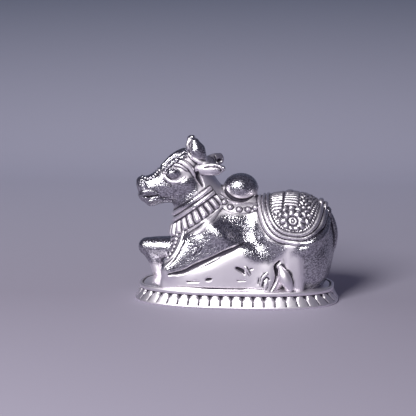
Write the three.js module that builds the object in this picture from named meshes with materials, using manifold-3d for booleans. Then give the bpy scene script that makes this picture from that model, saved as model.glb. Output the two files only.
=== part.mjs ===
// A small cast silver bull lying on an oval lotus plinth: Nandi, the bull of Indian temples.
// He faces -X with his head turned a little to his left, which is -Y. One foreleg is raised at the
// knee, the other three legs are folded. Bull, trappings and plinth are one casting, so the model
// is one solid. The origin is the middle of the plinth's flat underside, and +Z is up.
import * as THREE from 'three';
import Module from 'manifold-3d';

const wasm = await Module();
wasm.setup();

// Driving dimensions, in millimetres
const BULL_LENGTH = 35; // raised knee to rump
const PLINTH_END_SPARE = 0.1; // how far the plinth's foot reaches past the bull at each end
const PLINTH_SIDE_SPARE = 0.8; // and past his folded legs at each side
const PLINTH_HEIGHT = 2.8;
const PLINTH_FOOT = 0.45; // plain upright edge under the petals
const PLINTH_RIM = 0.4; // plain upright edge above the petals
const PLINTH_SPLAY = 0.75; // how far the foot stands out past the top
const PETAL_DEPTH = 0.35; // how deep the grooves between petals are cut
const PETAL_WIDTH = 2.3; // wanted width of one petal; a whole number of them goes round
const SEAT_DEPTH = 0.3; // how far the bull's underside is sunk in the plinth, to be one with it
const CLOTH_THICKNESS = 0.28; // saddle cloth, proud of the back
const CLOTH_EDGE = 0.24; // extra height of the two cords along the cloth's edge
const CORD_HEIGHT = 0.35; // neck cords, proud of the neck
const BEAD_RADIUS = 0.5; // beads on the shoulder cord
const PENDANT_THICKNESS = 0.42; // leaf pendants of the collar, proud of the neck

// The bull's own pose and proportions are shares of his length: one share is a thirty-fifth of it,
// and heights count from the plinth's top.
const SHARE = BULL_LENGTH / 35;
const inShares = (rows) => rows.map((row) => row.map((value) => value * SHARE));
const LEGS_REACH = 7.9 * SHARE; // from the middle to the outside of the folded legs
const PLINTH_POWER = 2.6; // roundness of the plinth's oval: 2 is an ellipse, more is squarer
const HEAD_TURN = THREE.MathUtils.degToRad(15);
const HEAD_PIVOT_X = -6.4 * SHARE;

// Torso: x, top, bottom, half width
const TORSO = inShares([
  [-11.3, 8.6, 3.0, 0.9],
  [-10.7, 10.6, 0.8, 2.6],
  [-9.2, 12.4, -0.4, 4.2],
  [-6.0, 14.2, -0.4, 5.5],
  [-2.0, 15.1, -0.4, 6.1],
  [2.0, 15.0, -0.4, 6.2],
  [6.0, 15.2, -0.4, 6.2],
  [9.5, 15.6, -0.4, 6.2],
  [12.5, 15.0, -0.4, 5.9],
  [14.6, 13.7, -0.2, 4.9],
  [16.0, 11.6, 2.2, 3.6],
  [16.8, 9.4, 5.2, 1.6],
]);

// Roundness of the sections: 2 is an ellipse, more is squarer
const TORSO_POWER = 2.25;
const NECK_POWER = 2.1;
const HEAD_POWER = 2.2;

// Neck and head: top or back point x, z, then throat or jaw point x, z, then half width
const NECK = inShares([
  [1.2, 12.6, -9.0, 5.0, 4.6],
  [-0.6, 15.0, -10.2, 9.2, 4.5],
  [-2.3, 16.6, -10.9, 12.2, 4.1],
  [-3.6, 18.2, -10.8, 14.6, 3.7],
  [-4.6, 20.4, -10.0, 16.6, 3.1],
]);
const HEAD = inShares([
  [-4.7, 20.6, -4.4, 18.6, 0.9],
  [-5.5, 22.2, -5.0, 17.0, 2.3],
  [-7.4, 23.2, -6.8, 15.1, 3.0],
  [-9.4, 23.1, -9.1, 14.2, 3.2],
  [-11.2, 22.1, -11.1, 14.0, 2.9],
  [-12.8, 20.5, -12.5, 13.9, 2.3],
  [-14.2, 19.2, -13.6, 13.7, 1.95],
  [-15.6, 18.65, -14.6, 13.4, 2.0],
  [-16.6, 18.65, -15.3, 13.5, 2.1],
  [-17.2, 18.1, -16.1, 14.3, 1.7],
  [-17.3, 17.2, -16.8, 15.4, 0.8],
]);

// Limbs: x, y, z, half width across, half height
const NEAR_SHOULDER = inShares([
  [0.6, -1.6, 11.4, 2.6, 3.0],
  [-3.6, -3.6, 9.4, 2.8, 3.5],
  [-7.6, -4.5, 6.9, 2.5, 3.1],
  [-10.4, -4.9, 4.2, 1.9, 1.8],
  [-11.7, -5.0, 2.6, 1.3, 1.2],
]);
const NEAR_FOREARM = inShares([
  [2.4, -4.7, 3.9, 2.2, 3.6],
  [-1.6, -5.5, 3.3, 2.0, 3.2],
  [-7.0, -5.9, 2.2, 1.5, 2.3],
  [-11.4, -5.7, 1.4, 1.2, 1.4],
]);
const NEAR_CANNON = inShares([
  [-10.4, -6.4, 0.5, 1.0, 0.7],
  [-4.6, -6.6, 0.5, 1.0, 0.7],
  [0.6, -6.5, 0.6, 1.1, 0.8],
  [3.4, -6.3, 0.7, 1.2, 0.9],
]);
const FAR_FOREARM = inShares([
  [-7.0, 3.4, 5.2, 2.8, 3.0],
  [-11.0, 3.9, 5.0, 2.4, 2.2],
  [-14.6, 3.9, 5.1, 2.0, 1.85],
  [-16.3, 3.8, 5.15, 1.7, 1.65],
]);
const FAR_SHANK = inShares([
  [-15.8, 3.8, 4.6, 1.5, 1.5],
  [-14.8, 3.7, 2.6, 1.2, 1.3],
  [-14.1, 3.6, 0.8, 1.3, 1.4],
]);
const HIND_SHANK = inShares([
  [9.8, -4.8, 7.2, 1.9, 1.5],
  [10.4, -5.7, 4.4, 1.5, 1.2],
  [10.7, -6.1, 1.4, 1.4, 1.1],
]);
const HIND_LEG = inShares([
  [6.6, -4.2, 7.0, 1.9, 2.5],
  [5.6, -5.1, 4.4, 2.1, 2.3],
  [5.2, -5.8, 2.2, 1.9, 2.1],
  [5.0, -6.1, 0.8, 1.7, 1.7],
]);
const HIP_FOLD = inShares([
  [10.6, -4.9, 6.3, 1.3, 1.0],
  [12.4, -5.3, 7.3, 1.5, 1.2],
  [14.0, -4.4, 8.6, 1.5, 1.2],
  [15.0, -3.1, 9.5, 1.0, 0.9],
]);
const TAIL = inShares([
  [14.5, 0, 13.9, 0.8, 0.5],
  [16.0, -0.1, 12.1, 0.75, 0.5],
  [16.9, -0.4, 9.6, 0.65, 0.5],
  [16.8, -0.8, 7.2, 0.6, 0.5],
  [15.8, -1.5, 4.8, 0.6, 0.5],
  [14.6, -2.3, 2.8, 0.6, 0.5],
]);
const TUFT = inShares([
  [8.1, -6.5, 4.1, 0.35, 0.4],
  [8.6, -6.9, 2.9, 0.75, 0.95],
  [9.2, -7.0, 1.7, 0.75, 0.95],
  [9.8, -6.9, 0.5, 0.4, 0.5],
]);
const HORN = inShares([
  [-6.3, -1.9, 21.0, 1.1, 1.15],
  [-6.7, -2.35, 22.6, 1.15, 1.3],
  [-7.1, -2.45, 24.0, 1.0, 1.1],
  [-7.4, -2.4, 24.95, 0.5, 0.55],
]);
const EAR = inShares([
  [-5.7, -2.6, 19.8, 0.9, 0.9],
  [-4.4, -3.5, 19.8, 0.65, 1.2],
  [-3.1, -4.2, 19.8, 0.5, 1.05],
  [-2.2, -4.6, 19.75, 0.4, 0.6],
]);
// Rounded masses: centre, then radii
const HUMP = inShares([[0.7, 0, 16.5], [2.9, 2.7, 2.75]]);
const HAUNCH = inShares([[12.2, -3.2, 5.4], [3.9, 3.1, 5.2]]);
const EYE = inShares([[-11.1, -2.6, 19.4], [1.15, 0.75, 0.95]]);
const HORN_RIM = inShares([[-6.5, -2.2, 21.9], [1.35, 1.3, 0.28]]);
const CLOTH_CENTRE_X = 10.0 * SHARE;
const CLOTH_HALF_LENGTH = 5.7 * SHARE;
const CLOTH_DROP = 10.7 * SHARE; // from the spine down the flank, measured over the back
const ROSETTE_X = 9.2 * SHARE;
const ROSETTE_DROP = 7.2 * SHARE; // over the back, as the cloth's drop
const ROSETTE_RADIUS = 1.1 * SHARE;
// Mouth slit: x, z of its corners, and how far from the middle it starts and ends
const MOUTH = inShares([[-17.6, 15.35], [-13.2, 15.15], [-13.2, 15.25], [-17.6, 15.75]]);
const MOUTH_INSIDE = 1.5 * SHARE;
const MOUTH_OUTSIDE = 3 * SHARE;
const COLLAR_PLACE = 0.4; // along the neck, from its foot
const COLLAR_WIDTH = 0.22; // also along the neck
const CORD_SPREAD = 0.05; // half the width of one neck cord, also along the neck
const COLLAR_ROOT = 0.6 * SHARE; // how far the collar's ends reach into the neck
const PENDANTS = 26;
const PENDANT_GAP_SHARE = 0.15; // thickness left between two pendants, as a share of theirs
const BEAD_ARC = inShares([[-0.3, 14.2], [1.1, 13.8], [2.5, 13.8], [3.8, 14.2]]); // x, z
const GARLAND = inShares([[-10.5, -1.2, 10.6], [-11.2, -1.6, 8.0], [-11.3, -2.0, 5.0], [-10.9, -2.2, 2.8]]);
const GARLAND_BEADS = 7;

const signedPower = (value, power) => Math.sign(value) * Math.abs(value) ** power;

// Turns closed rings of points into one solid, with a point at each end.
function solidFromRings(rings, first, last) {
  const sides = rings[0].length;
  const points = [first, ...rings.flat(), last];
  const faces = [];
  const at = (ring, side) => 1 + ring * sides + (side % sides);
  for (let side = 0; side < sides; side++) {
    faces.push(0, at(0, side + 1), at(0, side));
    faces.push(points.length - 1, at(rings.length - 1, side), at(rings.length - 1, side + 1));
    for (let ring = 0; ring < rings.length - 1; ring++) {
      faces.push(at(ring, side), at(ring, side + 1), at(ring + 1, side + 1));
      faces.push(at(ring, side), at(ring + 1, side + 1), at(ring + 1, side));
    }
  }
  return solidFrom(points, faces);
}

function solidFrom(points, faces) {
  const vertProperties = new Float32Array(points.flatMap((p) => [p.x, p.y, p.z]));
  const mesh = new wasm.Mesh({ numProp: 3, vertProperties, triVerts: new Uint32Array(faces) });
  const solid = new wasm.Manifold(mesh);
  if (solid.volume() > 0) return solid;
  for (let i = 0; i < faces.length; i += 3) [faces[i], faces[i + 1]] = [faces[i + 1], faces[i]];
  return solidFrom(points, faces);
}

// A body given by its upper and lower outline in the XZ plane, with superellipse sections.
class ProfileBody {
  constructor(stations, power) {
    this.power = power;
    this.upper = new THREE.CatmullRomCurve3(
      stations.map(([x, z, , , width]) => new THREE.Vector3(x, width, z)),
    );
    this.lower = new THREE.CatmullRomCurve3(
      stations.map(([, , x, z]) => new THREE.Vector3(x, 0, z)),
    );
  }

  // The surface at a share t of the length and an angle round it; lift moves it outwards.
  point(t, angle, lift = 0) {
    const upper = this.upper.getPoint(t);
    const lower = this.lower.getPoint(t);
    const width = upper.y + lift;
    upper.y = 0;
    const centre = upper.clone().add(lower).multiplyScalar(0.5);
    const half = upper.clone().sub(centre);
    half.setLength(half.length() + lift);
    const exponent = 2 / this.power;
    return centre
      .addScaledVector(half, signedPower(Math.sin(angle), exponent))
      .add(new THREE.Vector3(0, width * signedPower(Math.cos(angle), exponent), 0));
  }

  middle(t) {
    return this.point(t, Math.PI / 2).add(this.point(t, -Math.PI / 2)).multiplyScalar(0.5);
  }

  solid(sides, steps) {
    const rings = [];
    for (let i = 0; i <= steps; i++) {
      rings.push(Array.from({ length: sides }, (_, j) => (
        this.point(i / steps, (2 * Math.PI * j) / sides)
      )));
    }
    return solidFromRings(rings, this.middle(0), this.middle(1));
  }
}

// A limb: an oval tube through its stations, with a domed end at each side.
function limb(stations, sides, steps, capSteps = 2) {
  const path = new THREE.CatmullRomCurve3(stations.map(([x, y, z]) => new THREE.Vector3(x, y, z)));
  const sizes = new THREE.CatmullRomCurve3(stations.map(([, , , a, b]) => new THREE.Vector3(a, b)));
  const ringAt = (t, shrink, shift) => {
    const tangent = path.getTangent(t);
    const across = new THREE.Vector3(0, 1, 0).addScaledVector(tangent, -tangent.y).normalize();
    const over = tangent.clone().cross(across);
    const size = sizes.getPoint(t);
    const centre = path.getPoint(t).addScaledVector(tangent, shift * Math.min(size.x, size.y));
    return Array.from({ length: sides }, (_, j) => {
      const angle = (2 * Math.PI * j) / sides;
      return centre.clone()
        .addScaledVector(across, size.x * shrink * Math.cos(angle))
        .addScaledVector(over, size.y * shrink * Math.sin(angle));
    });
  };
  const dome = (t, sign) => Array.from({ length: capSteps - 1 }, (_, i) => {
    const turn = (Math.PI / 2) * ((i + 1) / capSteps);
    return ringAt(t, Math.cos(turn), sign * Math.sin(turn));
  });
  const body = Array.from({ length: steps + 1 }, (_, i) => ringAt(i / steps, 1, 0));
  const rings = [...dome(0, -1).reverse(), ...body, ...dome(1, 1)];
  const tip = (t, sign) => ringAt(t, 0, sign)[0];
  return solidFromRings(rings, tip(0, -1), tip(1, 1));
}

function ellipsoid([[x, y, z], [a, b, c]], sides, bands) {
  const rings = [];
  for (let i = 1; i < bands; i++) {
    const turn = (Math.PI * i) / bands;
    rings.push(Array.from({ length: sides }, (_, j) => {
      const angle = (2 * Math.PI * j) / sides;
      return new THREE.Vector3(
        x + a * Math.sin(turn) * Math.cos(angle),
        y + b * Math.sin(turn) * Math.sin(angle),
        z + c * Math.cos(turn),
      );
    }));
  }
  return solidFromRings(rings, new THREE.Vector3(x, y, z + c), new THREE.Vector3(x, y, z - c));
}

// A block between two four-sided faces, each with its corners in the same order.
function block(low, high) {
  const points = [...low, ...high];
  const faces = [0, 1, 2, 0, 2, 3, 4, 6, 5, 4, 7, 6];
  for (let i = 0; i < 4; i++) {
    const j = (i + 1) % 4;
    faces.push(i, i + 4, j + 4, i, j + 4, j);
  }
  return solidFrom(points, faces);
}

const mirrored = (rows) => rows.map(([x, y, ...rest]) => [x, -y, ...rest]);
const mirroredMass = ([[x, y, z], radii]) => [[x, -y, z], radii];
const union = (solids) => solids.reduce((all, solid) => all.add(solid));

const torsoBody = new ProfileBody(TORSO.map(([x, top, low, w]) => [x, top, x, low, w]), TORSO_POWER);
const neckBody = new ProfileBody(NECK, NECK_POWER);
const headBody = new ProfileBody(HEAD, HEAD_POWER);

// Share of the torso's length at which its section stands at x.
function torsoShareAt(x) {
  let low = 0;
  let high = 1;
  for (let i = 0; i < 24; i++) {
    const middle = (low + high) / 2;
    if (torsoBody.middle(middle).x < x) low = middle;
    else high = middle;
  }
  return (low + high) / 2;
}

// The point on the back at x, a distance over the back from the spine; negative is the near side.
function onBack(x, reach, lift) {
  const t = torsoShareAt(x);
  const side = Math.sign(reach) || 1;
  const stepAngle = Math.PI / 90;
  let angle = Math.PI / 2;
  let gone = 0;
  let last = torsoBody.point(t, angle);
  while (gone < Math.abs(reach)) {
    const next = torsoBody.point(t, angle - side * stepAngle);
    const step = next.distanceTo(last);
    const share = Math.min(1, (Math.abs(reach) - gone) / step);
    angle -= side * stepAngle * share;
    gone += step;
    last = next;
  }
  return torsoBody.point(t, angle, lift);
}

// The point on the near flank at x and height z.
function onFlank(x, z, lift) {
  const t = torsoShareAt(x);
  let low = Math.PI / 2;
  let high = Math.PI;
  for (let i = 0; i < 24; i++) {
    const middle = (low + high) / 2;
    if (torsoBody.point(t, middle).z > z) low = middle;
    else high = middle;
  }
  return torsoBody.point(t, low, lift);
}

// Saddle cloth: an oval draped over the back, thicker along its edge where two cords run.
function saddleCloth() {
  const spokes = 26;
  const bands = [
    [0.35, 0], [0.74, 0], [0.77, CLOTH_EDGE], [0.86, CLOTH_EDGE], [0.88, 0], [0.91, CLOTH_EDGE],
    [1.0, CLOTH_EDGE], [1.0, -2 * CLOTH_THICKNESS],
  ];
  const spot = (share, angle, lift) => onBack(
    CLOTH_CENTRE_X + CLOTH_HALF_LENGTH * share * Math.cos(angle),
    CLOTH_DROP * share * Math.sin(angle),
    CLOTH_THICKNESS + lift,
  );
  const rings = bands.map(([share, lift]) => Array.from({ length: spokes }, (_, j) => (
    spot(share, (2 * Math.PI * j) / spokes, lift)
  )));
  const heart = onBack(CLOTH_CENTRE_X, 0, -1.5);
  return solidFromRings(rings, spot(0, 0, 0), heart);
}

// A band round the neck: rows of a place along it and a height over it, which a column may change.
function neckBand(rows, columns, share = () => 1) {
  const rings = rows.map(([t, lift]) => Array.from({ length: columns }, (_, j) => (
    neckBody.point(t, (2 * Math.PI * j) / columns, lift * (lift > 0 ? share(j) : 1))
  )));
  return solidFromRings(rings, neckBody.middle(rows[0][0]), neckBody.middle(rows.at(-1)[0]));
}

// Collar: two cords round the neck with a row of leaf pendants under them.
function collar() {
  const valley = CORD_HEIGHT / 4;
  const cord = (t) => [
    [t - CORD_SPREAD, valley],
    [t - CORD_SPREAD / 2, CORD_HEIGHT],
    [t + CORD_SPREAD / 2, CORD_HEIGHT],
  ];
  const top = COLLAR_PLACE + COLLAR_WIDTH;
  const under = top - 2.1 * CORD_SPREAD;
  const cords = neckBand(
    [[under - CORD_SPREAD, -COLLAR_ROOT], ...cord(under), ...cord(top), [top + CORD_SPREAD, -COLLAR_ROOT]],
    24,
  );
  const pendantTop = under - CORD_SPREAD / 2; // tucked under the lower cord
  const pendants = neckBand(
    [
      [COLLAR_PLACE - COLLAR_WIDTH / 2, -COLLAR_ROOT],
      [COLLAR_PLACE - COLLAR_WIDTH / 2, PENDANT_THICKNESS],
      [pendantTop, PENDANT_THICKNESS],
      [pendantTop, -COLLAR_ROOT],
    ],
    3 * PENDANTS,
    (column) => (column % 3 ? 1 : PENDANT_GAP_SHARE),
  );
  return [cords, pendants];
}

// Beads over the shoulder, from the collar to the saddle cloth, on both sides.
function shoulderBeads() {
  const near = BEAD_ARC.map(([x, z]) => onFlank(x, z, BEAD_RADIUS * 0.2));
  const radii = [BEAD_RADIUS, BEAD_RADIUS, BEAD_RADIUS];
  return near.flatMap((p) => [
    ellipsoid([[p.x, p.y, p.z], radii], 6, 3),
    ellipsoid([[p.x, -p.y, p.z], radii], 6, 3),
  ]);
}

// Beads down the front of the chest.
function chestGarland() {
  const line = new THREE.CatmullRomCurve3(GARLAND.map(([x, y, z]) => new THREE.Vector3(x, y, z)));
  return Array.from({ length: GARLAND_BEADS }, (_, i) => {
    const { x, y, z } = line.getPoint(i / (GARLAND_BEADS - 1));
    return ellipsoid([[x, y, z], [BEAD_RADIUS, BEAD_RADIUS * 1.3, BEAD_RADIUS]], 6, 3);
  });
}

// The head with its horns, ears and eyes, turned about the neck.
function turnedHead() {
  const horns = [HORN, mirrored(HORN)].map((stations) => limb(stations, 9, 4, 3));
  const ears = [EAR, mirrored(EAR)].map((stations) => limb(stations, 8, 4));
  const rims = [HORN_RIM, mirroredMass(HORN_RIM)].map((mass) => ellipsoid(mass, 12, 4));
  const eyes = [EYE, mirroredMass(EYE)].map((mass) => ellipsoid(mass, 9, 6));
  return union([headBody.solid(18, 14), ...horns, ...ears, ...rims, ...eyes])
    .subtract(mouthCut(1))
    .subtract(mouthCut(-1))
    .translate([-HEAD_PIVOT_X, 0, 0])
    .rotate([0, 0, THREE.MathUtils.radToDeg(HEAD_TURN)])
    .translate([HEAD_PIVOT_X, 0, 0]);
}

// A boss in the middle of each side of the saddle cloth, and one on the spine at its front.
function clothBosses() {
  const flat = [ROSETTE_RADIUS, CLOTH_EDGE * 2, ROSETTE_RADIUS];
  const [near, far] = [1, -1].map((side) => onBack(ROSETTE_X, side * ROSETTE_DROP, CLOTH_THICKNESS));
  const spine = onBack(CLOTH_CENTRE_X - CLOTH_HALF_LENGTH * 0.25, 0, CLOTH_THICKNESS);
  return [
    ellipsoid([near.toArray(), flat], 8, 4),
    ellipsoid([far.toArray(), flat], 8, 4),
    ellipsoid([spine.toArray(), [ROSETTE_RADIUS, ROSETTE_RADIUS, CLOTH_EDGE * 2]], 8, 4),
  ];
}

// The slit of the mouth on one side of the muzzle, as a thin wedge to cut away.
function mouthCut(side) {
  const face = (y) => MOUTH.map(([x, z]) => new THREE.Vector3(x, side * y, z));
  return block(face(MOUTH_INSIDE), face(MOUTH_OUTSIDE));
}

function bull() {
  const nearLimbs = [
    NEAR_SHOULDER, NEAR_FOREARM, NEAR_CANNON, HIND_SHANK, HIND_LEG, HIP_FOLD, TAIL, TUFT,
  ].map((stations) => limb(stations, 11, 4));
  const farLimbs = [
    mirrored(NEAR_SHOULDER).slice(0, 3), FAR_FOREARM, FAR_SHANK, mirrored(HIND_LEG),
    mirrored(HIP_FOLD),
  ].map((stations) => limb(stations, 10, 3));
  return union([
    torsoBody.solid(26, 18),
    neckBody.solid(20, 6),
    turnedHead(),
    ellipsoid(HUMP, 14, 8),
    ellipsoid(HAUNCH, 15, 9),
    ellipsoid(mirroredMass(HAUNCH), 12, 8),
    ...nearLimbs,
    ...farLimbs,
    saddleCloth(),
    ...clothBosses(),
    ...collar(),
    ...shoulderBeads(),
    ...chestGarland(),
  ]);
}

// Plinth: an oval with a splayed band of lotus petals between two plain edges.
function plinth() {
  const halfLength = BULL_LENGTH / 2 + PLINTH_END_SPARE;
  const halfWidth = LEGS_REACH + PLINTH_SIDE_SPARE;
  class Oval extends THREE.Curve {
    getPoint(t, target = new THREE.Vector3()) {
      const exponent = 2 / PLINTH_POWER;
      return target.set(
        halfLength * signedPower(Math.cos(2 * Math.PI * t), exponent),
        halfWidth * signedPower(Math.sin(2 * Math.PI * t), exponent),
        0,
      );
    }
  }
  const outline = new Oval();
  outline.arcLengthDivisions = 800;
  const petals = Math.round(outline.getLength() / PETAL_WIDTH);
  const columns = petals * 3;
  const spaced = outline.getSpacedPoints(columns).slice(0, columns);
  const outward = spaced.map((p, i) => {
    const along = spaced[(i + 1) % columns].clone().sub(spaced[(i + columns - 1) % columns]);
    return new THREE.Vector3(along.y, -along.x, 0).normalize();
  });
  const bandTop = PLINTH_HEIGHT - PLINTH_RIM;
  const levels = [
    [0, 0, 0],
    [PLINTH_FOOT, 0, 0],
    [PLINTH_FOOT + 0.05, 0.1, 1],
    [bandTop - 0.35, PLINTH_SPLAY * 0.8, 0.8],
    [bandTop, PLINTH_SPLAY, 0],
    [PLINTH_HEIGHT, PLINTH_SPLAY, 0],
  ];
  const rings = levels.map(([z, inset, groove]) => spaced.map((p, i) => {
    const inGroove = Math.abs(Math.cos((Math.PI * i) / 3)) ** 3;
    const depth = inset + PETAL_DEPTH * groove * inGroove;
    return p.clone().addScaledVector(outward[i], -depth).setZ(z);
  }));
  return solidFromRings(rings, new THREE.Vector3(0, 0, 0), new THREE.Vector3(0, 0, PLINTH_HEIGHT));
}

const onPlinth = bull()
  .trimByPlane([0, 0, 1], -SEAT_DEPTH)
  .translate([0, 0, PLINTH_HEIGHT]);
const casting = plinth().add(onPlinth);

function toGeometry(solid) {
  const mesh = solid.getMesh();
  const geometry = new THREE.BufferGeometry();
  geometry.setAttribute('position', new THREE.BufferAttribute(new Float32Array(mesh.vertProperties), 3));
  geometry.setIndex(new THREE.BufferAttribute(new Uint32Array(mesh.triVerts), 1));
  geometry.computeVertexNormals();
  return geometry;
}

const silver = new THREE.MeshStandardMaterial({ color: 0xd6d2dc, roughness: 0.22, metalness: 1 });
const figure = new THREE.Mesh(toGeometry(casting), silver);
figure.name = 'nandi_bull_figure';

const group = new THREE.Group();
group.add(figure);

export default group;
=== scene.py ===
"""A small cast silver bull, lying on a lotus plinth, in a plain pale studio."""
import math

import bmesh
import bpy
import numpy as np
from mathutils import Matrix, Vector
from mathutils.bvhtree import BVHTree
from mathutils.kdtree import KDTree


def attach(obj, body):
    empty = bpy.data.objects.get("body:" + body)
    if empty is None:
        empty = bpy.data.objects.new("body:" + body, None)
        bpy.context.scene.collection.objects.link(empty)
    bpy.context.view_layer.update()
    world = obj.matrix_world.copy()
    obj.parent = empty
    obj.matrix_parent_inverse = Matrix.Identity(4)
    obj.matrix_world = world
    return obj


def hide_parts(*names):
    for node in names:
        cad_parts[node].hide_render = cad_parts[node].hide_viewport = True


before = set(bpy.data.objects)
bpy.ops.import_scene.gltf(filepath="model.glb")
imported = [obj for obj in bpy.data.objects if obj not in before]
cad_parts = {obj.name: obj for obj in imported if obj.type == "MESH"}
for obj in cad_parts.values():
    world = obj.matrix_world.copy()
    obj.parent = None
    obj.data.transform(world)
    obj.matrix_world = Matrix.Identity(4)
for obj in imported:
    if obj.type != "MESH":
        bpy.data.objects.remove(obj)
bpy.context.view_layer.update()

# The figure's tables are in millimetres: the bull faces -X, its near side is -Y.
# Heights of the bull's forms count from the top of the plinth.
MM = 0.001
PLINTH_HEIGHT = 2.8
NEAR, FAR = -1, 1
HEAD_TURN = math.radians(15)
HEAD_PIVOT_X = -6.4
MOST_TRIANGLES = 196000
MERGE_DISTANCE, TINY = 1e-6, 1e-6

# Forms of the bull

# x, top, bottom, half width
TORSO = [
    (-11.3, 8.6, 3.0, 0.9), (-10.7, 10.6, 0.4, 2.6), (-9.2, 12.4, -1.2, 4.2), (-6.0, 14.2, -1.2, 5.2),
    (-2.4, 15.1, -1.2, 5.2), (0.7, 15.05, -1.2, 4.85), (3.0, 15.05, -1.2, 4.3), (4.0, 15.05, -1.2, 4.8),
    (5.0, 15.05, -1.2, 5.9), (6.4, 15.2, -1.2, 6.3),
    (9.5, 15.6, -1.2, 6.25), (12.5, 15.0, -1.2, 5.9), (14.6, 13.7, -0.6, 4.9), (16.0, 11.6, 1.8, 3.6),
    (16.8, 9.4, 5.2, 1.6),
]
# x and z of the upper line, x and z of the lower line, half width
NECK = [
    (1.2, 12.6, -9.0, 5.0, 4.6), (-0.6, 15.0, -10.2, 9.2, 4.5), (-2.3, 16.6, -10.9, 12.2, 4.1),
    (-3.6, 18.2, -10.8, 14.6, 3.7), (-4.6, 20.4, -10.0, 16.6, 3.1),
]
HEAD = [
    (-4.7, 20.6, -4.4, 18.6, 0.9), (-5.5, 22.2, -5.0, 17.0, 2.3), (-7.4, 23.2, -6.8, 15.1, 3.0),
    (-9.4, 23.1, -9.1, 14.2, 3.2), (-11.2, 22.1, -11.1, 14.0, 2.95), (-12.8, 20.5, -12.5, 13.9, 2.5),
    (-14.2, 19.2, -13.6, 13.7, 2.2), (-15.6, 18.65, -14.6, 13.4, 1.95), (-16.6, 18.65, -15.3, 13.5, 1.75),
    (-17.2, 18.1, -16.1, 14.3, 1.35), (-17.3, 17.2, -16.8, 15.4, 0.7),
]
# Limbs: x, y, z, half width across, half height
NEAR_SHOULDER = [
    (1.6, -1.7, 7.3, 2.6, 1.5), (0.0, -2.3, 6.7, 3.2, 2.2), (-2.0, -2.8, 6.3, 3.6, 3.6),
    (-4.0, -2.8, 5.9, 3.7, 5.3), (-6.2, -3.0, 5.0, 3.4, 5.0), (-8.5, -4.1, 3.8, 2.6, 3.5),
    (-10.8, -5.4, 2.8, 1.6, 1.6),
]
FAR_SHOULDER_STATIONS = 5  # the far shoulder ends where the raised leg leaves it
UPPER_ARM = [
    (-6.6, -2.4, 12.1, 2.0, 2.0), (-4.3, -3.4, 10.4, 2.6, 2.1), (-2.3, -4.1, 8.8, 2.6, 2.1),
    (-0.3, -3.8, 7.5, 2.2, 1.4),
]
NEAR_FOREARM = [
    (6.4, -4.9, 1.3, 1.8, 3.2), (4.4, -4.9, 1.9, 1.8, 3.8), (2.0, -5.0, 2.7, 1.8, 4.9),
    (0.2, -5.1, 2.4, 1.8, 4.5), (-2.0, -5.2, 1.8, 1.8, 3.9), (-4.1, -5.3, 1.3, 1.7, 3.4),
    (-6.3, -5.3, 0.9, 1.6, 2.9), (-8.7, -5.3, 0.4, 1.4, 2.3), (-11.4, -5.2, 0.1, 1.2, 1.9),
]
THIGH = [(6.8, -4.1, 6.2, 2.0, 1.8), (8.6, -4.3, 6.9, 2.1, 1.9), (10.8, -4.2, 7.1, 2.0, 2.0)]
FAR_FOREARM = [
    (-7.0, 3.4, 5.2, 2.8, 3.0), (-11.0, 3.9, 5.0, 2.4, 2.2), (-14.6, 3.9, 5.1, 2.0, 1.85),
    (-16.3, 3.8, 5.15, 1.7, 1.65),
]
FAR_SHANK = [(-15.8, 3.8, 4.6, 1.5, 1.5), (-14.8, 3.7, 2.6, 1.2, 1.3), (-14.1, 3.6, 0.8, 1.3, 1.4)]
HIND_SHANK = [
    (10.1, -4.9, 7.4, 1.7, 1.6), (10.3, -5.1, 4.2, 1.5, 1.6), (10.4, -5.0, 1.4, 1.4, 1.6),
    (10.4, -4.8, -0.6, 1.3, 1.6),
]
HIND_LEG = [
    (6.6, -3.9, 7.0, 1.9, 2.3), (5.8, -4.6, 4.4, 2.0, 2.0), (5.4, -4.9, 2.2, 2.0, 2.0),
    (5.2, -5.1, -0.4, 2.0, 2.0),
]
HIP_FOLD = [
    (10.6, -4.9, 6.3, 1.3, 1.0), (12.4, -5.3, 7.3, 1.5, 1.2), (14.0, -4.4, 8.6, 1.5, 1.2),
    (15.0, -3.1, 9.5, 1.0, 0.9),
]
TAIL = [
    (14.5, 0.0, 13.9, 0.8, 0.5), (16.0, -0.1, 12.1, 0.75, 0.5), (16.9, -0.4, 9.6, 0.65, 0.5),
    (16.8, -0.8, 7.2, 0.6, 0.5), (15.8, -1.5, 4.8, 0.6, 0.5), (14.6, -2.3, 2.8, 0.6, 0.5),
]
TUFT = [
    (8.1, -6.5, 4.1, 0.35, 0.4), (8.6, -6.9, 2.9, 0.75, 0.95), (9.2, -7.0, 1.7, 0.75, 0.95),
    (9.8, -6.9, 0.5, 0.4, 0.5),
]
# Forms of the head are built straight and then turned with it
HORN = [
    (-6.3, -2.1, 21.0, 1.0, 1.0), (-6.8, -2.45, 22.3, 1.2, 1.3), (-7.2, -2.55, 23.5, 1.2, 1.35),
    (-7.5, -2.5, 24.6, 0.65, 0.75),
]
HORN_CUP = [
    (-8.3, -2.2, 25.1, 0.3, 0.3), (-8.65, -2.2, 24.0, 0.36, 0.34), (-8.5, -2.3, 23.0, 0.36, 0.34),
    (-7.8, -3.0, 21.95, 0.38, 0.36), (-6.6, -3.4, 21.2, 0.36, 0.36), (-5.4, -3.5, 21.1, 0.26, 0.26),
]
FAR_HORN_CUP = [
    (-7.2, 2.2, 25.0, 0.3, 0.3), (-7.7, 2.2, 24.0, 0.36, 0.34), (-7.6, 2.3, 23.0, 0.36, 0.34),
    (-7.0, 2.7, 21.95, 0.36, 0.34), (-6.0, 3.1, 21.15, 0.34, 0.34),
]
NEAR_EAR = [
    (-6.8, -3.0, 20.0, 0.8, 0.9), (-5.4, -3.8, 20.1, 0.75, 1.05), (-4.0, -4.4, 20.1, 0.6, 1.0),
    (-3.0, -4.8, 20.3, 0.4, 0.5),
]
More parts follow.
